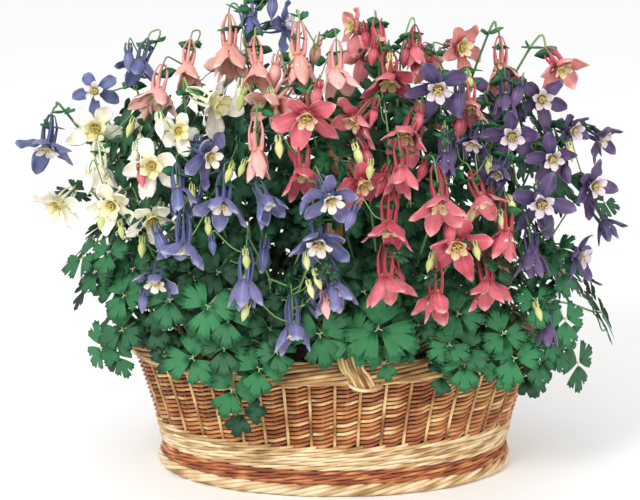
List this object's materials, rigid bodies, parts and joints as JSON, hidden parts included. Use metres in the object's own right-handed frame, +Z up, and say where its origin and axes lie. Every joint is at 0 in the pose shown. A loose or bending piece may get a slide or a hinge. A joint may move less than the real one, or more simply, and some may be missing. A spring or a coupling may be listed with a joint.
{
  "type": "columbine plant",
  "caption": "Columbine plants in mixed colours, with nodding spurred blooms on thin stalks over lobed leaves, in an oval woven willow basket with a bow handle.",
  "frame": {"origin": "centre of the basket's flat underside", "axes": "+Z up, +X along the basket's long axis, -Y towards the side it is shown from"},
  "size_m": [0.6094, 0.3741, 0.4943],
  "materials": {
    "willow_weave": "stripped and boiled willow rods, woven, satin and unvarnished",
    "willow_pale": "white willow rods, plaited round the foot, satin",
    "willow_rim": "brown willow rods plaited in a rope-like rim, satin",
    "willow_handle": "bundle of bent willow rods, satin",
    "liner_film": "thin dark polythene film",
    "potting_soil": "damp crumbly peat compost",
    "leaf_green": "matt lobed columbine leaves and green stalks",
    "petal_cream": "soft cream sepals with yellow cups, matt",
    "petal_blue": "soft blue sepals with paler cups, matt",
    "petal_pink": "soft salmon pink sepals with cream cups, matt",
    "petal_red": "soft red sepals with cream cups, matt",
    "petal_coral": "soft coral sepals with yellow cups, matt",
    "petal_purple": "soft violet sepals with pale cups, matt"
  },
  "bodies": {
    "root": {"basket_wall": "willow_weave", "basket_foot_border": "willow_pale", "basket_rim_border": "willow_rim", "handle": "willow_handle", "liner": "liner_film", "soil": "potting_soil", "spray_white_1": "petal_cream", "bloom_white_2": "petal_cream", "spray_white_3": "petal_cream", "spray_white_4": "petal_cream", "bloom_white_5": "petal_cream", "bloom_white_6": "petal_cream", "spray_indigo_1": "petal_blue", "bloom_indigo_2": "petal_blue", "spray_blue_1": "petal_blue", "spray_blue_2": "petal_blue", "bloom_blue_3": "petal_blue", "spray_blue_4": "petal_blue", "bloom_blue_5": "petal_blue", "spray_blue_6": "petal_blue", "spray_blue_7": "petal_blue", "spray_pink_1": "petal_pink", "spray_pink_2": "petal_pink", "spray_pink_3": "petal_pink", "spray_pink_4": "petal_pink", "spray_pink_5": "petal_pink", "spray_sky_1": "petal_blue", "spray_red_1": "petal_red", "spray_red_2": "petal_red", "spray_red_3": "petal_red", "bloom_red_4": "petal_red", "spray_red_5": "petal_red", "spray_red_6": "petal_red", "bloom_red_7": "petal_red", "spray_red_8": "petal_red", "spray_red_9": "petal_red", "spray_red_10": "petal_red", "spray_coral_1": "petal_coral", "spray_coral_2": "petal_coral", "bloom_coral_3": "petal_coral", "bloom_coral_4": "petal_coral", "spray_coral_5": "petal_coral", "spray_purple_1": "petal_purple", "spray_purple_2": "petal_purple", "spray_purple_3": "petal_purple", "spray_purple_4": "petal_purple", "spray_purple_5": "petal_purple", "spray_purple_6": "petal_purple", "spray_purple_7": "petal_purple", "bloom_purple_8": "petal_purple", "bloom_purple_9": "petal_purple", "spray_purple_10": "petal_purple", "plant_white": "leaf_green", "plant_indigo": "leaf_green", "plant_blue": "leaf_green", "plant_pink": "leaf_green", "plant_sky": "leaf_green", "plant_red": "leaf_green", "plant_coral": "leaf_green", "plant_purple": "leaf_green"}
  },
  "joints": []
}
